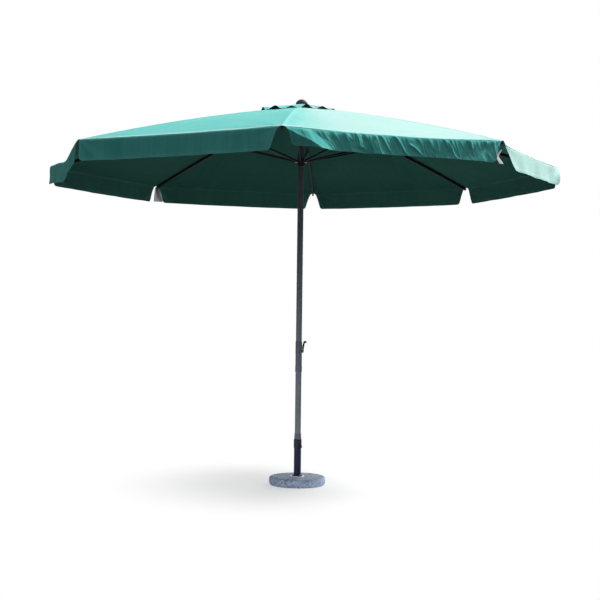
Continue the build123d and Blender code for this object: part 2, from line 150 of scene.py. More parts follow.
bpy.ops.object.shade_smooth_by_angle(angle=math.radians(50))

# Granite, sawn: grains of feldspar, quartz and mica a few millimetres wide, drawn about three times
# as coarse so that they show, with larger pale and rusty patches. It is matt, with fine pits, and the
# sawn top is painted a little darker than the dressed side, as painted shade.
grain_width = 0.012
pale_patch_width = 0.07
rust_patch_width = 0.11
pit_width = 0.004
granite = bpy.data.materials.new("granite, sawn")
granite.use_nodes = True
tree = granite.node_tree
shader = tree.nodes["Principled BSDF"]
place = add_node(tree, "ShaderNodeTexCoord").outputs["Object"]
grain = add_node(
    tree, "ShaderNodeTexVoronoi", {"Vector": place, "Scale": 1 / grain_width, "Randomness": 1.0},
)
grain_grey = add_node(tree, "ShaderNodeSeparateColor", {"Color": grain.outputs["Color"]})
grain_tone = add_node(tree, "ShaderNodeValToRGB", {"Fac": grain_grey.outputs["Red"]})
grain_tone.color_ramp.interpolation = "CONSTANT"
grain_tone.color_ramp.elements[0].color = linear("#7F8FA9")
grain_tone.color_ramp.elements[1].color = linear("#C0D0E8")
grain_tone.color_ramp.elements[1].position = 0.78
for position, colour in ((0.22, "#95A8C4"), (0.5, "#A9BBD6")):
    grain_tone.color_ramp.elements.new(position).color = linear(colour)
cloud = add_node(
    tree, "ShaderNodeTexNoise", {"Vector": place, "Scale": 1 / pale_patch_width, "Detail": 3.0},
)
cloud_share = add_node(
    tree, "ShaderNodeMapRange", {"Value": cloud.outputs["Fac"], "From Min": 0.5, "From Max": 0.72},
)
pale = add_node(
    tree, "ShaderNodeMix",
    {"Factor": cloud_share.outputs["Result"], "A": grain_tone.outputs["Color"], "B": linear("#BCCCE6")},
    data_type="RGBA",
)
rust = add_node(
    tree, "ShaderNodeTexNoise",
    {"Vector": place, "Scale": 1 / rust_patch_width, "Detail": 2.0, "Distortion": 0.6},
)
rust_share = add_node(
    tree, "ShaderNodeMapRange",
    {"Value": rust.outputs["Fac"], "From Min": 0.56, "From Max": 0.78, "To Max": 0.6},
)
stained = add_node(
    tree, "ShaderNodeMix",
    {"Factor": rust_share.outputs["Result"], "A": pale.outputs["Result"], "B": linear("#9C9EA9")},
    data_type="RGBA",
)
# Painted shade: the top of the stone is multiplied by a grey so that it renders darker than the side.
across = add_node(tree, "ShaderNodeSeparateXYZ", {"Vector": place})
top_shade_share = add_node(
    tree, "ShaderNodeMapRange",
    {"Value": across.outputs["Z"], "From Min": stone_height - 0.010, "From Max": stone_height - 0.002},
)
shaded_top = add_node(
    tree, "ShaderNodeMix",
    {"Factor": top_shade_share.outputs["Result"], "A": stained.outputs["Result"], "B": linear("#CFD1D3")},
    data_type="RGBA", blend_type="MULTIPLY",
)
pits = add_node(tree, "ShaderNodeTexNoise", {"Vector": place, "Scale": 1 / pit_width, "Detail": 4.0})
relief = add_node(
    tree, "ShaderNodeBump", {"Height": pits.outputs["Fac"], "Strength": 0.3, "Distance": 0.0012},
)
shader.inputs["Roughness"].default_value = 0.78
tree.links.new(shaded_top.outputs["Result"], shader.inputs["Base Color"])
tree.links.new(relief.outputs["Normal"], shader.inputs["Normal"])
stone.data.materials.append(granite)
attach(stone, "base")
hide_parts("base_stone")

# Anchor: a bolt and washer under the stone and a round plate over it, pressed from sheet steel and
# zinc plated. The same plating is on the clamp's screw, the pole's spigot, the axle and the pins.
spangle_width = 0.009
zinc = bpy.data.materials.new("steel, zinc plated")
zinc.use_nodes = True
tree = zinc.node_tree
shader = tree.nodes["Principled BSDF"]
shader.inputs["Base Color"].default_value = linear("#D6DAE0")
shader.inputs["Metallic"].default_value = 1.0
place = add_node(tree, "ShaderNodeTexCoord").outputs["Object"]
spangle = add_node(
    tree, "ShaderNodeTexNoise", {"Vector": place, "Scale": 1 / spangle_width, "Detail": 3.0},
)
dullness = add_node(
    tree, "ShaderNodeMapRange", {"Value": spangle.outputs["Fac"], "To Min": 0.3, "To Max": 0.52},
)
tree.links.new(dullness.outputs["Result"], shader.inputs["Roughness"])


def coat_nodes(finish, *names):
    """Gives these CAD nodes one finish."""
    for name in names:
        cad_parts[name].data.materials.clear()
        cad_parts[name].data.materials.append(finish)


coat_nodes(
    zinc, "anchor_bolt", "anchor_washer", "base_plate", "clamp_screw", "joint_spigot", "crank_axle",
    "pulley_pin", "hub_pins", "runner_pins",
)


# Base tube: steel tube with a welded foot, powder coated dark blue-grey. The coat has the fine
# orange peel of sprayed powder, and dust dulls it in soft patches.
def powder_coat(name, colour, dusty, shine):
    """Sprayed and baked powder coat: satin, with orange peel about 2 mm wide and a little dust."""
    dust_width = 0.09
    peel_width = 0.002
    coat = bpy.data.materials.new(name)
    coat.use_nodes = True
    tree = coat.node_tree
    shader = tree.nodes["Principled BSDF"]
    shader.inputs["Specular IOR Level"].default_value = 0.2
    place = add_node(tree, "ShaderNodeTexCoord").outputs["Object"]
    dust = add_node(
        tree, "ShaderNodeTexNoise", {"Vector": place, "Scale": 1 / dust_width, "Detail": 4.0},
    )
    dust_share = add_node(
        tree, "ShaderNodeMapRange", {"Value": dust.outputs["Fac"], "From Min": 0.35, "From Max": 0.75},
    )
    tint = add_node(
        tree, "ShaderNodeMix",
        {"Factor": dust_share.outputs["Result"], "A": linear(colour), "B": linear(dusty)},
        data_type="RGBA",
    )
    peel = add_node(
        tree, "ShaderNodeTexNoise", {"Vector": place, "Scale": 1 / peel_width, "Detail": 2.0},
    )
    relief = add_node(
        tree, "ShaderNodeBump", {"Height": peel.outputs["Fac"], "Strength": 0.2, "Distance": 0.0003},
    )
    gloss = add_node(
        tree, "ShaderNodeMapRange",
        {"Value": dust.outputs["Fac"], "To Min": shine, "To Max": shine + 0.18},
    )
    tree.links.new(tint.outputs["Result"], shader.inputs["Base Color"])
    tree.links.new(gloss.outputs["Result"], shader.inputs["Roughness"])
    tree.links.new(relief.outputs["Normal"], shader.inputs["Normal"])
    return coat


coat_nodes(powder_coat("powder coat, slate blue", "#1B2142", "#252C4E", 0.45), "base_tube")


# Clamp: a blue-black nylon collar on the tube's top with a lobed knob, and a grey bush round the pole.
# They are injection moulded, with the fine spark texture of the mould.
def moulded_plastic(name, colour, worn, roughness):
    """Injection-moulded nylon or ABS: even colour, grained about 0.8 mm wide, greyer where handled."""
    wear_width = 0.05
    spark_width = 0.0008
    plastic = bpy.data.materials.new(name)
    plastic.use_nodes = True
    tree = plastic.node_tree
    shader = tree.nodes["Principled BSDF"]
    shader.inputs["Roughness"].default_value = roughness
    shader.inputs["Specular IOR Level"].default_value = 0.3
    place = add_node(tree, "ShaderNodeTexCoord").outputs["Object"]
    wear = add_node(
        tree, "ShaderNodeTexNoise", {"Vector": place, "Scale": 1 / wear_width, "Detail": 3.0},
    )
    wear_share = add_node(
        tree, "ShaderNodeMapRange", {"Value": wear.outputs["Fac"], "From Min": 0.4, "From Max": 0.8},
    )
    tint = add_node(
        tree, "ShaderNodeMix",
        {"Factor": wear_share.outputs["Result"], "A": linear(colour), "B": linear(worn)},
        data_type="RGBA",
    )
    spark = add_node(
        tree, "ShaderNodeTexNoise", {"Vector": place, "Scale": 1 / spark_width, "Detail": 1.0},
    )
    relief = add_node(
        tree, "ShaderNodeBump", {"Height": spark.outputs["Fac"], "Strength": 0.25, "Distance": 0.0002},
    )
    tree.links.new(tint.outputs["Result"], shader.inputs["Base Color"])
    tree.links.new(relief.outputs["Normal"], shader.inputs["Normal"])
    return plastic


black_nylon = moulded_plastic("nylon, black", "#14181B", "#23282B", 0.5)
grey_nylon = moulded_plastic("nylon, grey", "#6C707C", "#7A7E8A", 0.55)
blue_nylon = moulded_plastic("nylon, blue-black", "#131728", "#1D2236", 0.55)
coat_nodes(blue_nylon, "tube_collar", "clamp_knob")
coat_nodes(grey_nylon, "pole_bush")

# Pole: two lengths of steel tube on a spigot, powder coated mid grey, with a black plug in the foot
# and a grey moulded sleeve over the joint.
pole_coat = powder_coat("powder coat, mid grey", "#7E838E", "#8C919C", 0.5)
coat_nodes(pole_coat, "lower_pole", "upper_pole")
coat_nodes(black_nylon, "pole_plug")
coat_nodes(grey_nylon, "joint_sleeve")

# Crank: two ABS half shells round the pole, a painted steel arm on the axle and a turning black
# grip. The drum that winds the lift cord is inside the pole.
housing_abs = moulded_plastic("ABS, blue-grey", "#59646F", "#66717B", 0.5)
arm_coat = powder_coat("powder coat, dark navy", "#1E232E", "#2A303A", 0.32)
coat_nodes(housing_abs, "housing_front", "housing_rear")
coat_nodes(arm_coat, "crank_arm")
coat_nodes(black_nylon, "crank_grip", "winding_drum")

# Hub, runner and finial: moulded black nylon. The hub caps the pole and carries the ribs, the runner
# slides on the pole and carries the struts, and the finial holds the vent cap down.
coat_nodes(black_nylon, "top_hub", "pulley", "finial", "runner")

# Ribs and struts: bent box-section steel tube, powder coated dark grey, each rib with a riveted
# bracket for its strut and a plug in its tip.
rib_coat = powder_coat("powder coat, dark grey", "#1D2022", "#282B2D", 0.6)
for arm in range(1, 9):
    coat_nodes(rib_coat, f"rib_{arm}", f"strut_{arm}")

# Canopy: eight gores of woven polyester sewn together over the ribs, drawn tight and sagging a
# little between them. Each gore is two halves here, because it folds along its middle.
rib_foot_radius = 0.045
rib_foot_height = 2.992
rib_fall = math.radians(13.47)
rib_length = 2.028
rib_bow = 0.028
cloth_lift = 0.015
cloth_overhang = 0.012
panel_start = 0.165
rim_run = rib_length + cloth_overhang
gore_sag = 0.006
half_gore = math.radians(22.5)
cloth_thickness = 0.0011
seam_rise = 0.0014
seam_width = 0.020
hem_rise = 0.0012
hem_width = 0.022


def above_rib(run, lift):
    """Radius and height of a point that far along a rib and above its middle line."""
    rise = 4 * rib_bow * (run / rib_length) * (1 - run / rib_length) + lift
    radius = rib_foot_radius + run * math.cos(rib_fall) + rise * math.sin(rib_fall)
    return radius, rib_foot_height - run * math.sin(rib_fall) + rise * math.cos(rib_fall)


def gore_place(gore, across, radius, height):
    """Point of a gore: across is -1 on its own rib, 0 in its middle and 1 on the next rib."""
    middle = math.radians(45 * gore - 112.5)
    out = Vector((math.cos(middle), math.sin(middle), 0))
    side = Vector((-out.y, out.x, 0))
    reach = radius * math.cos(half_gore)
    return out * reach + side * (across * radius * math.sin(half_gore)) + Vector((0, 0, height))


def half_gores():
    """Each half of each gore: the gore, its side, the ending of its names, and its rib."""
    for gore in range(1, 9):
        for side, half in ((-1, "left"), (1, "right")):
            rib = gore if side < 0 else gore % 8 + 1
            yield gore, side, f"{gore}_{half}", f"rib_{rib}"


def cloth_piece(name, wide, long, shape, facing, skins):
    """Sheet of cloth from a grid. For each grid corner, shape gives its point, its place among the
    threads and its distance from the sewn edges. The outer side faces the direction facing."""
    bpy.ops.object.select_all(action="DESELECT")
    bpy.ops.mesh.primitive_grid_add(x_subdivisions=wide, y_subdivisions=long, size=2, calc_uvs=True)
    piece = bpy.context.object
    piece.name = name
    threads, edges = [], []
    for vertex in piece.data.vertices:
        point, thread, edge = shape((vertex.co.x + 1) / 2, (vertex.co.y + 1) / 2)
        vertex.co = point
        threads.append(thread)
        edges.append(edge)
    piece.data.uv_layers.active.name = "threads"
    piece.data.uv_layers.new(name="edges")
    for loop in piece.data.loops:
        piece.data.uv_layers["threads"].data[loop.index].uv = threads[loop.vertex_index]
        piece.data.uv_layers["edges"].data[loop.index].uv = edges[loop.vertex_index]
    for skin in skins:
        piece.data.materials.append(skin)
    if sum(face.normal.dot(facing) for face in piece.data.polygons) < 0:
        piece.data.flip_normals()
    wall = piece.modifiers.new("thickness", "SOLIDIFY")
    wall.thickness = cloth_thickness
    wall.offset = 0
    wall.use_even_offset = True
    wall.material_offset = 1
    bpy.ops.object.modifier_apply(modifier=wall.name)
    bpy.ops.object.shade_smooth_by_angle(angle=math.radians(50))
    return piece


def fold_along_rib(piece, point, gore, side):
    """Bakes the piece's placement into its mesh; the rib line and the way across from it are worked out
    but not used.
    """
    on_rib = point(gore, side, 0, 0.5)[0]
    along = (point(gore, side, 0, 1)[0] - point(gore, side, 0, 0)[0]).normalized()
    away = point(gore, side, 1, 0.5)[0] - on_rib
    away = (away - along * away.dot(along)).normalized()
    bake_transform(piece)


# Woven polyester, dyed and coated: a plain weave of 0.6 mm threads, drawn 25 mm wide so that it
# shows, with soft creases from folding, faded streaks and two rows of stitches along its seams. The
# colour is painted paler at the front right and along the rim at the front, as painted sheen where
# sunlight glances off the cloth. The stitches are 4 mm long and drawn three times as long.
def woven_polyester(
    name, colour, faded, stitch_colour, roughness, shine, sheen_colour, sheen_span, rim_sheen_strength=0.0,
):
    """Across the canopy from left to right, the two numbers after the pale colour give where the painted
    sheen starts and where it is full.
    """
    fade_width = 0.45
    streak_width = 0.03
    streak_length = 0.6
    stitch_length = 0.012
    stitch_thickness = 0.0009
    thread_turn = 0.004
    crease_width = 0.12
    cloth = bpy.data.materials.new(name)
    cloth.use_nodes = True
    tree = cloth.node_tree
    shader = tree.nodes["Principled BSDF"]
    shader.inputs["Roughness"].default_value = roughness
    shader.inputs["Specular IOR Level"].default_value = shine
    threads = add_node(tree, "ShaderNodeUVMap", uv_map="threads").outputs["UV"]
    edges = add_node(tree, "ShaderNodeUVMap", uv_map="edges").outputs["UV"]
    thread_way = add_node(tree, "ShaderNodeSeparateXYZ", {"Vector": threads})
    edge_way = add_node(tree, "ShaderNodeSeparateXYZ", {"Vector": edges})

    fade = add_node(
        tree, "ShaderNodeTexNoise", {"Vector": threads, "Scale": 1 / fade_width, "Detail": 5.0},
    )
    drawn_out = add_node(
        tree, "ShaderNodeMapping",
        {"Vector": threads, "Scale": (1 / streak_width, 1 / streak_length, 1)},
    )
    streak = add_node(
        tree, "ShaderNodeTexNoise",
        {"Vector": drawn_out.outputs["Vector"], "Scale": 1.0, "Detail": 4.0},
    )
    worn = add_node(
        tree, "ShaderNodeMath", {0: fade.outputs["Fac"], 1: streak.outputs["Fac"]}, operation="ADD",
    )
    fade_share = add_node(
        tree, "ShaderNodeMapRange",
        {"Value": worn.outputs["Value"], "From Min": 0.75, "From Max": 1.35},
    )
    tint = add_node(
        tree, "ShaderNodeMix",
        {"Factor": fade_share.outputs["Result"], "A": linear(colour), "B": linear(faded)},
        data_type="RGBA",
    )

    # Painted sheen: the colour is mixed towards a paler colour at the front right of the canopy, and in
    # a band along the rim at the front, for the gloss of sunlight on the cloth.
    place = add_node(tree, "ShaderNodeTexCoord").outputs["Object"]
    level = add_node(tree, "ShaderNodeVectorMath", {0: place, 1: (1, 1, 0)}, operation="MULTIPLY")
    level = add_node(tree, "ShaderNodeVectorMath", {0: level.outputs["Vector"]}, operation="NORMALIZE")
    level = add_node(tree, "ShaderNodeSeparateXYZ", {"Vector": level.outputs["Vector"]})
    right_sheen_share = add_node(
        tree, "ShaderNodeMapRange",
        {"Value": level.outputs["X"], "From Min": sheen_span[0], "From Max": sheen_span[1]},
        interpolation_type="SMOOTHSTEP",
    )
    front_share = add_node(
        tree, "ShaderNodeMapRange",
        {"Value": level.outputs["Y"], "From Min": 0.55, "From Max": -0.1},
        interpolation_type="SMOOTHSTEP",
    )
    rim_sheen_share = add_node(
        tree, "ShaderNodeMapRange",
        {"Value": thread_way.outputs["Y"], "From Min": rim_run - 0.11, "From Max": rim_run - 0.05,
         "To Max": rim_sheen_strength},
        interpolation_type="SMOOTHSTEP",
    )
    sheen_share = add_node(
        tree, "ShaderNodeMath", {0: right_sheen_share.outputs["Result"], 1: rim_sheen_share.outputs["Result"]},
        operation="MAXIMUM",
    )
    sheen_share = add_node(
        tree, "ShaderNodeMath", {0: sheen_share.outputs["Value"], 1: front_share.outputs["Result"]},
        operation="MULTIPLY",
    )
    tint = add_node(
        tree, "ShaderNodeMix",
        {"Factor": sheen_share.outputs["Value"], "A": tint.outputs["Result"], "B": linear(sheen_colour)},
        data_type="RGBA",
    )

    stitches = None
    for along, from_edge in (("Y", "X"), ("X", "Y")):
        turn = add_node(
            tree, "ShaderNodeMath", {0: thread_way.outputs[along], 1: stitch_length},
            operation="DIVIDE",
        )
        turn = add_node(tree, "ShaderNodeMath", {0: turn.outputs["Value"]}, operation="FRACT")
        dash = add_node(
            tree, "ShaderNodeMath", {0: turn.outputs["Value"], 1: 0.68}, operation="LESS_THAN",
        )
        for row in (0.005, 0.014):
            line = add_node(
                tree, "ShaderNodeMath",
                {0: edge_way.outputs[from_edge], 1: row, 2: stitch_thickness}, operation="COMPARE",
            )
            sewn = add_node(
                tree, "ShaderNodeMath", {0: line.outputs["Value"], 1: dash.outputs["Value"]},
                operation="MULTIPLY",
            )
            if stitches:
                sewn = add_node(
                    tree, "ShaderNodeMath", {0: stitches.outputs["Value"], 1: sewn.outputs["Value"]},
                    operation="MAXIMUM",
                )
            stitches = sewn
    stitched = add_node(
        tree, "ShaderNodeMix",
        {"Factor": stitches.outputs["Value"], "A": tint.outputs["Result"], "B": linear(stitch_colour)},
        data_type="RGBA",
    )

    # The wave texture counts 20 radians to a unit, so a thread is 2 pi thread_turns wide.
    warp, weft = (
        add_node(
            tree, "ShaderNodeTexWave",
            {"Vector": threads, "Scale": 1 / thread_turn / 20, "Distortion": 0.4}, bands_direction=way,
        )
        for way in ("X", "Y")
    )
    weave = add_node(
        tree, "ShaderNodeMath", {0: warp.outputs["Fac"], 1: weft.outputs["Fac"]}, operation="MULTIPLY",
    )
    weave_relief = add_node(
        tree, "ShaderNodeBump",
        {"Height": weave.outputs["Value"], "Strength": 0.2, "Distance": 0.0004},
    )
    crease = add_node(
        tree, "ShaderNodeTexNoise",
        {"Vector": threads, "Scale": 1 / crease_width, "Detail": 3.0, "Distortion": 0.8},
    )
    relief = add_node(
        tree, "ShaderNodeBump",
        {"Height": crease.outputs["Fac"], "Strength": 0.35, "Distance": 0.006,
         "Normal": weave_relief.outputs["Normal"]},
    )
    tree.links.new(stitched.outputs["Result"], shader.inputs["Base Color"])
    tree.links.new(relief.outputs["Normal"], shader.inputs["Normal"])
    return cloth


# The outer side is painted paler at the front right and along the rim at the front, as painted sheen.
outer_cloth = woven_polyester(
    "woven polyester, sea green", "#4CC3BB", "#5FCFC7", "#9ADAD4", 0.62, 0.5,
    "#9FD4CD", (-0.03, 0.24), 0.9,
)
# The inner side takes only a faint painted sheen across the canopy towards the front right.
inner_cloth = woven_polyester(
    "woven polyester, coated inner side", "#3B7A70", "#438376", "#58998C", 0.85, 0.1,
    "#3F7E74", (-1, 1),
)
rim_radius, rim_height = above_rib(rim_run, cloth_lift)
panel_length = rim_run - panel_start
panel_width = rim_radius * math.sin(half_gore)


def rim_sag(gore, across):
    """How far the rim of a gore hangs below the line between its rib tips. Gores 1, 2 and 7 are
    slack: gore 2 next to its own rib, gore 7 most a little past its middle."""
    if gore == 2:
        return 0.034 * (1 - math.exp(-(across + 1) / 0.08)) * (1 - across) / 2
    deep = gore_sag
    if gore == 1:
        deep = 0.016
    if gore == 7:
        deep = 0.034 + 0.040 * math.exp(-(((across - 0.25) / 0.45) ** 2))
    return deep * (1 - across * across)


def panel_point(gore, side, over, down):
    """Point of half a gore: over runs from its rib to its middle, down from the vent opening to the
    rim. The rows lie closer at the rib and the rim, where the seam and the hem stand proud."""
    to_rim = panel_length * (1 - down) ** 1.5
    run = rim_run - to_rim
    radius, height = above_rib(run, cloth_lift)
    half_width = radius * math.sin(half_gore)
    from_rib = over**1.8 * half_width
    across = side * (1 - over**1.8)
    height -= rim_sag(gore, across) * (radius / rim_radius) ** 2
    # Shallow folds fan out from the rib's tip, where the cloth is pulled.
    tip = math.hypot(from_rib, to_rim)
    fan = math.sin(math.atan2(to_rim, from_rib + 0.001) * 11 + gore)
    height += 0.003 * fan * min(1, tip / 0.1) * math.exp(-tip / 0.28) * min(1, from_rib / 0.05)
    spot = Vector((radius * 3, across * 2.5 + gore * 7.3, gore * 1.7))
    height += 0.0025 * noise.noise(spot) * min(1, from_rib / 0.12)
    height += seam_rise * max(0, 1 - (from_rib / seam_width) ** 2)
    height += hem_rise * max(0, 1 - (to_rim / hem_width) ** 2)
    thread = (across * half_width + gore * 3, run)
    return gore_place(gore, across, radius, height), thread, (from_rib, to_rim)


for gore, side, ending, rib in half_gores():
    panel = cloth_piece(
        f"panel_{ending}", 30, 80, lambda over, down: panel_point(gore, side, over, down),
        Vector((0, 0, 1)), (outer_cloth, inner_cloth),
    )
    fold_along_rib(panel, panel_point, gore, side)
    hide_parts(f"canopy_{ending}")

# Vent cap: a small second canopy over the opening in the top, held under the finial and sewn down at
# the ribs and at the middle of each gore, with its rim arched between so that wind gets out. Its
# crown and its skirt are separate pieces, because the crown stays at the finial when the ribs fold.
vent_inner_radius = 0.024
vent_rim_radius = 0.335
vent_inner_height = 3.037
vent_rim_height = 2.9555
vent_swell = 0.006
vent_slack = 0.05
vent_arch = 0.024
usual_lift = 0.9
vent_lifts = {(7, 1): 1.4, (8, -1): 1.15, (8, 1): 0.6, (1, -1): 1.25, (1, 1): 0.85, (2, -1): 0.7}
crown_share = 0.52
crown_radius = vent_inner_radius + crown_share * (vent_rim_radius - vent_inner_radius)
vent_length = math.hypot(vent_rim_radius - vent_inner_radius, vent_inner_height - vent_rim_height)


def vent_point(gore, side, over, down):
    """Point of half a vent gore: over runs from its rib to its middle, down from the finial to the
    rim. The vent is slack on the left, and each arch of its rim is lifted by its own share."""
    across = side * (1 - over)
    slack = vent_slack * max(0, -math.sin(math.radians(45 * gore + 22.5 * across - 22.5)))
    radius = vent_inner_radius + down * (vent_rim_radius + slack * down - vent_inner_radius)
    height = vent_inner_height + down * (vent_rim_height - 0.2 * slack - vent_inner_height)
    arch = vent_arch * vent_lifts.get((gore, side), usual_lift)
    height += arch * math.sin(math.pi * over) ** 3 * down**3 + vent_swell * math.sin(math.pi * down)
    half_width = radius * math.sin(half_gore)
    thread = (across * half_width + gore * 3, down * vent_length)
    edge = (over * half_width, (1 - down) * vent_length)
    return gore_place(gore, across, radius, height), thread, edge


def crown_point(gore, side, over, down):
    """Point of the vent's upper part, with down running over that part only."""
    return vent_point(gore, side, over, down * crown_share)


def skirt_point(gore, side, over, down):
    """Point of the vent's lower part, with down running over that part only."""
    return vent_point(gore, side, over, crown_share + down * (1 - crown_share))


for gore, side, ending, rib in half_gores():
    crown = cloth_piece(
        f"crown_{ending}", 10, 14, lambda over, down: crown_point(gore, side, over, down),
        Vector((0, 0, 1)), (outer_cloth, inner_cloth),
    )
    crown_point(gore, side, 0, 0.2)[0]
    crown_point(gore, side, 0, 0.9)[0]
    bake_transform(crown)
    skirt = cloth_piece(
        f"skirt_{ending}", 20, 22, lambda over, down: skirt_point(gore, side, over, down),
        Vector((0, 0, 1)), (outer_cloth, inner_cloth),
    )
    fold_along_rib(skirt, skirt_point, gore, side)
    for vent, share, near, far in (
        (crown, crown_share, vent_inner_radius, crown_radius),
        (skirt, 1 - crown_share, crown_radius, vent_rim_radius),
    ):
        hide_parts(f"canopy_{ending}")

# Valance: a hemmed flap of the same cloth sewn under the rim of each gore. It hangs free, with
# shallow folds, and is cut back in a rounded notch at each rib tip.
valance_drop = 0.15
notch_start = 0.012
notch_width = 0.060
narrow_notch_width = 0.022
corner_round = 0.035
shoulder_out = 0.008
# The flap at the right front is painted near-white mint, as painted sheen where sunlight glances off it.
hanging_cloth = woven_polyester(
    "woven polyester, hanging", "#54BBB4", "#67C8C1", "#A2DFD9", 0.85, 0.12,
    "#D2FFF5", (0.705, 0.76),
)
# Painted light: the inner side of the flaps is given a lighter colour than the same coated inner side of
# the panels, standing in for light that reaches it; it also takes a faint painted sheen towards the
# right front.
hanging_lining = woven_polyester(
    "woven polyester, inner side of the flaps", "#5A9E94", "#62A69B", "#74B3A7", 0.85, 0.1,
    "#5EA297", (-1, 1),
)

# Sharp creases of the front right flap: where each starts at the rim and ends at the hem, from the
# front tip, how wide and high it is, and the drops at which it begins and ends.
flap_creases = (
    (0.33, 0.39, 0.012, 0.009, 0.00, 0.07), (0.41, 0.46, 0.010, 0.008, 0.00, 0.08),
    (0.49, 0.56, 0.022, 0.022, 0.00, 0.14), (0.55, 0.60, 0.009, 0.007, 0.00, 0.06),
    (0.61, 0.66, 0.010, 0.007, 0.00, 0.05), (0.66, 0.74, 0.011, 0.015, 0.00, 0.15),
    (0.70, 0.75, 0.008, 0.008, 0.01, 0.08), (0.76, 0.85, 0.008, 0.015, 0.00, 0.16),
    (0.80, 0.97, 0.010, 0.014, 0.06, 0.15), (0.92, 0.98, 0.009, 0.008, 0.00, 0.05),
    (1.00, 1.05, 0.010, 0.005, 0.00, 0.09), (1.11, 1.18, 0.007, 0.008, 0.00, 0.11),
    (1.13, 1.20, 0.007, 0.008, 0.02, 0.14), (1.16, 1.22, 0.007, 0.006, 0.00, 0.09),
    (1.29, 1.34, 0.008, 0.012, 0.00, 0.08), (1.41, 1.45, 0.010, 0.011, 0.00, 0.05),
    (1.47, 1.50, 0.009, 0.010, 0.00, 0.06),
)
# The corners at the front and the right front tip are blown in and fold along a line from the tip.
corner_slope = 0.52
corner_fold = {1: math.radians(38), 2: math.radians(150)}


def front_creases(from_front, drop):
    """How far the front right flap stands out in its creases, which slant to the right as they fall."""
    out = 0
    for top, foot, width, rise, first, last in flap_creases:
        line = top + (foot - top) * drop / valance_drop
        line += 0.008 * noise.noise(Vector((drop * 30, top * 9, 0)))
        fades = min(1, max(0, (drop - first) / 0.02 + 0.3), max(0, (last - drop) / 0.03))
        off = (from_front - line) / width
        out += rise * fades * math.exp(-off * off * (1 if off > 0 else 0.35))
    slant = from_front - 0.45 * drop
    fine = max(0, 1 - abs(noise.noise(Vector((slant * 26, drop * 6, 1.3)))) / 0.2) ** 1.5
    patchy = 0.5 + 0.5 * noise.noise(Vector((slant * 5, drop * 10, 7)))
    out += 0.008 * fine * patchy * min(1, drop / 0.01)
    soft = math.exp(-(((from_front - 0.45) / 0.3) ** 2))
    shoulder = (0.010 + 0.012 * soft) * (1 + 0.9 * noise.noise(Vector((slant * 11, 0, 4))))
    return out + shoulder * (1 - math.exp(-drop / (0.012 + 0.008 * soft)))


def outward(gore):
    """Level direction from the pole through the middle of a gore."""
    return gore_place(gore, 0, 1, 0).normalized()


def valance_point(gore, side, over, down):
    """Point of half a flap: over runs from the middle of the rim to the notch, down to the hem."""
    notch_foot = narrow_notch_width if (gore, side) == (8, -1) else notch_width
    notch = notch_start + (notch_foot - notch_start) * down**0.6
    reach = panel_width - notch
    along = over * reach
    corner = max(0, corner_round - (reach - along)) / corner_round
    drop = down * (valance_drop - corner_round * (1 - math.sqrt(max(0, 1 - corner * corner))))
    edge = (reach - along, valance_drop - drop)
    place = side * along
    thread = (place + gore * 3, rim_run + drop)
    from_tip = panel_width - along
    # The flap hangs in shallow folds, with finer ones that fan out from the rib's tip.
    fold = 0.005 * math.sin(place * 13 + gore * 2.1) + 0.003 * math.sin(place * 29 + gore * 4.7)
    fan = math.sin(math.atan2(drop, from_tip) * 9 + gore)
    pull = 0.005 * fan * min(1, from_tip / 0.15) * math.exp(-from_tip / 0.3)
    out = 0.0016 + fold * down**1.3 + pull * min(1, drop / 0.03) + 0.010 * down
    # Its hem is double, and its top edge is tucked under the panel.
    out += 0.0010 * min(1, max(0, (drop - valance_drop + 0.026) / 0.004))
    out -= 0.0056 * max(0, 1 - drop / 0.004)
    if gore > 2:
        out += shoulder_out * (1 - math.exp(-drop / shoulder_out))
    if gore == 1:
        from_front = place + panel_width
        out += front_creases(from_front, drop)
        blown = 1 - min(1, max(0, (from_front - 0.9) / 0.6)) ** 2
        out -= 0.12 * blown * drop
        drop *= 1 - 0.16 * blown
    if gore == 2:
        drop *= 0.93
        if side > 0:
            bulge = math.sin(math.pi * min(1, drop / 0.17))
            out += 0.026 * math.exp(-((from_tip / 0.14) ** 2)) * bulge
    turned = 0
    if gore in corner_fold and side < 0:
        above = (corner_slope * from_tip - drop) / math.hypot(1, corner_slope)
        if gore == 1:
            flank = min(corner_slope * from_tip / math.hypot(1, corner_slope), 0.075)
            ridge = min(0.35 * from_tip, 0.06) * math.exp(-((max(0, from_tip - 0.25) / 0.08) ** 2))
            out += ridge * max(0, 1 - max(0, above) / flank)
        turned = max(0, -above)
        out -= turned * math.sin(corner_fold[gore])
        turned *= (1 - math.cos(corner_fold[gore])) / math.hypot(1, corner_slope)
    across = side * (along - turned * corner_slope) / panel_width
    height = rim_height - rim_sag(gore, across) + 0.002 - drop + turned
    return gore_place(gore, across, rim_radius, height) + outward(gore) * out, thread, edge


def press_flat(piece):
    """Gives a hanging piece its own copy of its mesh; it does not flatten it."""
    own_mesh(piece)


for gore, side, ending, rib in half_gores():
    valance = cloth_piece(
        f"valance_{ending}", 240 if gore == 1 else 90, 32,
        lambda over, down: valance_point(gore, side, over, down),
        outward(gore), (hanging_cloth, hanging_lining),
    )
    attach(valance, f"canopy_{ending}")
    press_flat(valance)
    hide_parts(f"canopy_{ending}")

# Care labels: two blank white satin tapes, each sewn by its fold to the side of a flap next to a rib
# tip, with both ends free. The front one is blown flat, the rear one hangs with its ends spread.
label_width = 0.040
label_length = {1: 0.105, 5: 0.275}
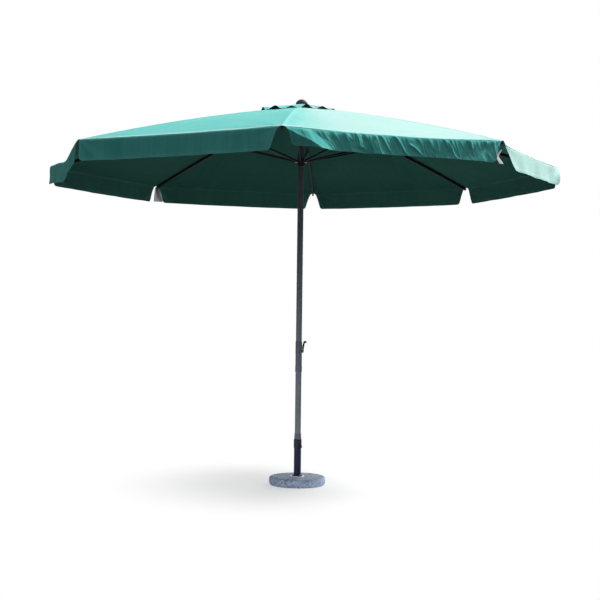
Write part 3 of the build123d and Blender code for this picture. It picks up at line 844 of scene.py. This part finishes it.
# Polyester satin: smooth white tape with fine cross ribs, which are drawn 13 mm wide so that they
# show. Light passes through it a little.
rib_turn = 0.002
satin = bpy.data.materials.new("polyester satin, white")
satin.use_nodes = True
tree = satin.node_tree
shader = tree.nodes["Principled BSDF"]
shader.inputs["Roughness"].default_value = 0.42
shader.inputs["Sheen Weight"].default_value = 0.2
shader.inputs["Subsurface Weight"].default_value = 0.6
shader.inputs["Subsurface Radius"].default_value = (0.01, 0.01, 0.01)
shader.inputs["Subsurface Scale"].default_value = 1.0
threads = add_node(tree, "ShaderNodeUVMap", uv_map="threads").outputs["UV"]
ribs = add_node(
    tree, "ShaderNodeTexWave", {"Vector": threads, "Scale": 1 / rib_turn / 20, "Distortion": 0.3},
    bands_direction="Y",
)
tint = add_node(
    tree, "ShaderNodeMix",
    {"Factor": ribs.outputs["Fac"], "A": linear("#EEF2F6"), "B": linear("#FAFCFE")}, data_type="RGBA",
)
relief = add_node(
    tree, "ShaderNodeBump", {"Height": ribs.outputs["Fac"], "Strength": 0.2, "Distance": 0.0003},
)
tree.links.new(tint.outputs["Result"], shader.inputs["Base Color"])
tree.links.new(relief.outputs["Normal"], shader.inputs["Normal"])


def label_point(gore, over, down):
    """Point of a label: over runs across the tape, down from one free end over the fold to the other."""
    if gore == 1:
        bend = abs(down - 0.48)
        turn = math.radians(52 - 36 * down)
        sideways = (over - 0.5) * label_width * math.cos(turn)
        from_tip = 0.050 - 0.075 * (math.sqrt(bend * bend + 0.004) - 0.063) + sideways
        fall = 0.106 + (down - 0.5) * label_length[gore] * 0.9
        inward = 0.01 * bend - 0.008 - (over - 0.5) * label_width * math.sin(turn)
    else:
        end = 2 * down - 1
        from_tip = 0.008 + 0.008 * end * end + 0.021 * end + (over - 0.5) * label_width
        fall = 0.014 + label_length[gore] / 2 * (math.sqrt(end * end + 0.004) - 0.063)
        inward = 0.003 + 0.010 * abs(end) + 0.004 * end
    across = (panel_width - from_tip) / panel_width
    height = rim_height - rim_sag(gore, min(1, across)) - fall
    thread = (over * label_width, down * label_length[gore])
    return gore_place(gore, across, rim_radius, height) - outward(gore) * inward, thread, (1, 1)


for gore in label_length:
    label = cloth_piece(
        f"label_{gore}", 8, 40, lambda over, down: label_point(gore, over, down),
        outward(gore), (satin, satin),
    )
    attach(label, f"canopy_{gore}_right")
    press_flat(label)

# Floor and background: a plain white floor that runs into a white surround and keeps the shadow.
# Next to the stone the floor throws light back, further out it throws back little.
bpy.ops.object.select_all(action="DESELECT")
bpy.ops.mesh.primitive_plane_add(size=120)
floor = bpy.context.object
floor.name = "floor"
white = bpy.data.materials.new("white floor")
white.use_nodes = True


def seen_share(tree):
    """1 for rays from the camera, also by way of gloss or glass, and 0 for those that carry light."""
    rays = add_node(tree, "ShaderNodeLightPath")
    seen = add_node(
        tree, "ShaderNodeMath",
        {0: rays.outputs["Is Camera Ray"], 1: rays.outputs["Is Glossy Ray"]}, operation="MAXIMUM",
    )
    seen = add_node(
        tree, "ShaderNodeMath",
        {0: seen.outputs["Value"], 1: rays.outputs["Is Transmission Ray"]}, operation="MAXIMUM",
    )
    return seen.outputs["Value"]


tree = white.node_tree
tree.nodes.clear()
seen = seen_share(tree)
place = add_node(tree, "ShaderNodeTexCoord").outputs["Object"]
far = add_node(tree, "ShaderNodeVectorMath", {0: place}, operation="LENGTH")
bounce = add_node(
    tree, "ShaderNodeMapRange",
    {"Value": far.outputs["Value"], "From Min": 0.5, "From Max": 1.4, "To Min": 0.85, "To Max": 0.06},
    interpolation_type="SMOOTHSTEP",
)
tone = add_node(
    tree, "ShaderNodeMix",
    {"Factor": seen, "A": bounce.outputs["Result"], "B": (0.92, 0.92, 0.92, 1)}, data_type="RGBA",
)
matt = add_node(tree, "ShaderNodeBsdfDiffuse", {"Color": tone.outputs["Result"]})
bright = add_node(tree, "ShaderNodeEmission", {"Color": (1, 1, 1, 1), "Strength": 1.0})
far_share = add_node(
    tree, "ShaderNodeMapRange",
    {"Value": far.outputs["Value"], "From Min": 0.3, "From Max": 1.6, "To Min": 0.55},
    interpolation_type="SMOOTHSTEP",
)
shown_far = add_node(
    tree, "ShaderNodeMath", {0: far_share.outputs["Result"], 1: seen}, operation="MULTIPLY",
)
mix = add_node(
    tree, "ShaderNodeMixShader",
    {0: shown_far.outputs["Value"], 1: matt.outputs[0], 2: bright.outputs[0]},
)
add_node(tree, "ShaderNodeOutputMaterial", {"Surface": mix.outputs[0]})
floor.data.materials.append(white)
floor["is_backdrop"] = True

# The surround lights the object with a soft fill that grows from left to right.
surround = bpy.data.worlds.new("surround")
bpy.context.scene.world = surround
surround.use_nodes = True
tree = surround.node_tree
tree.nodes.clear()
seen = seen_share(tree)
sky = add_node(tree, "ShaderNodeTexCoord").outputs["Generated"]
way = add_node(tree, "ShaderNodeSeparateXYZ", {"Vector": sky})
side_light = add_node(
    tree, "ShaderNodeMapRange",
    {"Value": way.outputs["X"], "From Min": -1.0, "From Max": 1.0, "To Min": 0.07, "To Max": 0.52},
)
fill = add_node(
    tree, "ShaderNodeBackground",
    {"Color": (0.95, 0.98, 1.0, 1), "Strength": side_light.outputs["Result"]},
)
plain = add_node(tree, "ShaderNodeBackground", {"Color": (1, 1, 1, 1), "Strength": 1.0})
mix = add_node(tree, "ShaderNodeMixShader", {0: seen, 1: fill.outputs[0], 2: plain.outputs[0]})
add_node(tree, "ShaderNodeOutputWorld", {"Surface": mix.outputs[0]})

# Light: a soft key lamp on the right, a little behind, and a wide soft one lower down behind it.
for name, azimuth, height, spread, strength in (
    ("key_lamp", 15, 54, 12, 2.7), ("rear_lamp", 66, 24, 40, 1.8),
):
    lamp = bpy.data.lights.new(name, "SUN")
    lamp.energy = strength
    lamp.angle = math.radians(spread)
    lit = bpy.data.objects.new(name, lamp)
    azimuth, height = math.radians(azimuth), math.radians(height)
    way = Vector((math.cos(azimuth), math.sin(azimuth), math.tan(height)))
    lit.rotation_euler = (-way).to_track_quat("-Z", "Y").to_euler()
    bpy.context.scene.collection.objects.link(lit)

# A small soft lamp low at the front left lightens the stone and the pole under the canopy.
foot_lamp = bpy.data.lights.new("foot_lamp", "SPOT")
foot_lamp.energy = 165
foot_lamp.spot_size = math.radians(38)
foot_lamp.spot_blend = 1.0
foot_lamp.shadow_soft_size = 0.5
lit = bpy.data.objects.new("foot_lamp", foot_lamp)
lit.location = (-1.9, -3.5, 0.8)
lit.rotation_euler = (Vector((0, 0, 0.55)) - lit.location).to_track_quat("-Z", "Y").to_euler()
bpy.context.scene.collection.objects.link(lit)

# Camera: low and far, as the photograph was taken, turned a little past the front rib.
camera_away = 9.064
camera_aside = 0.005
camera_height = 1.380
camera_turn = math.radians(3.40)
camera_pitch = 0.0100
camera_roll = 0.012
view = bpy.data.cameras.new("camera")
view.sensor_width = 36
view.lens = 68.04
view.clip_end = 200
camera = bpy.data.objects.new("camera", view)
camera.location = (
    camera_away * math.sin(camera_turn) + camera_aside * math.cos(camera_turn),
    -camera_away * math.cos(camera_turn) + camera_aside * math.sin(camera_turn),
    camera_height,
)
level_aim = Euler((math.pi / 2 + camera_pitch, 0, camera_turn)).to_matrix()
camera.rotation_euler = (level_aim @ Matrix.Rotation(camera_roll, 3, "Z")).to_euler()
bpy.context.scene.collection.objects.link(camera)
bpy.context.scene.camera = camera
bpy.context.scene.view_settings.view_transform = "Standard"

low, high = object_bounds()
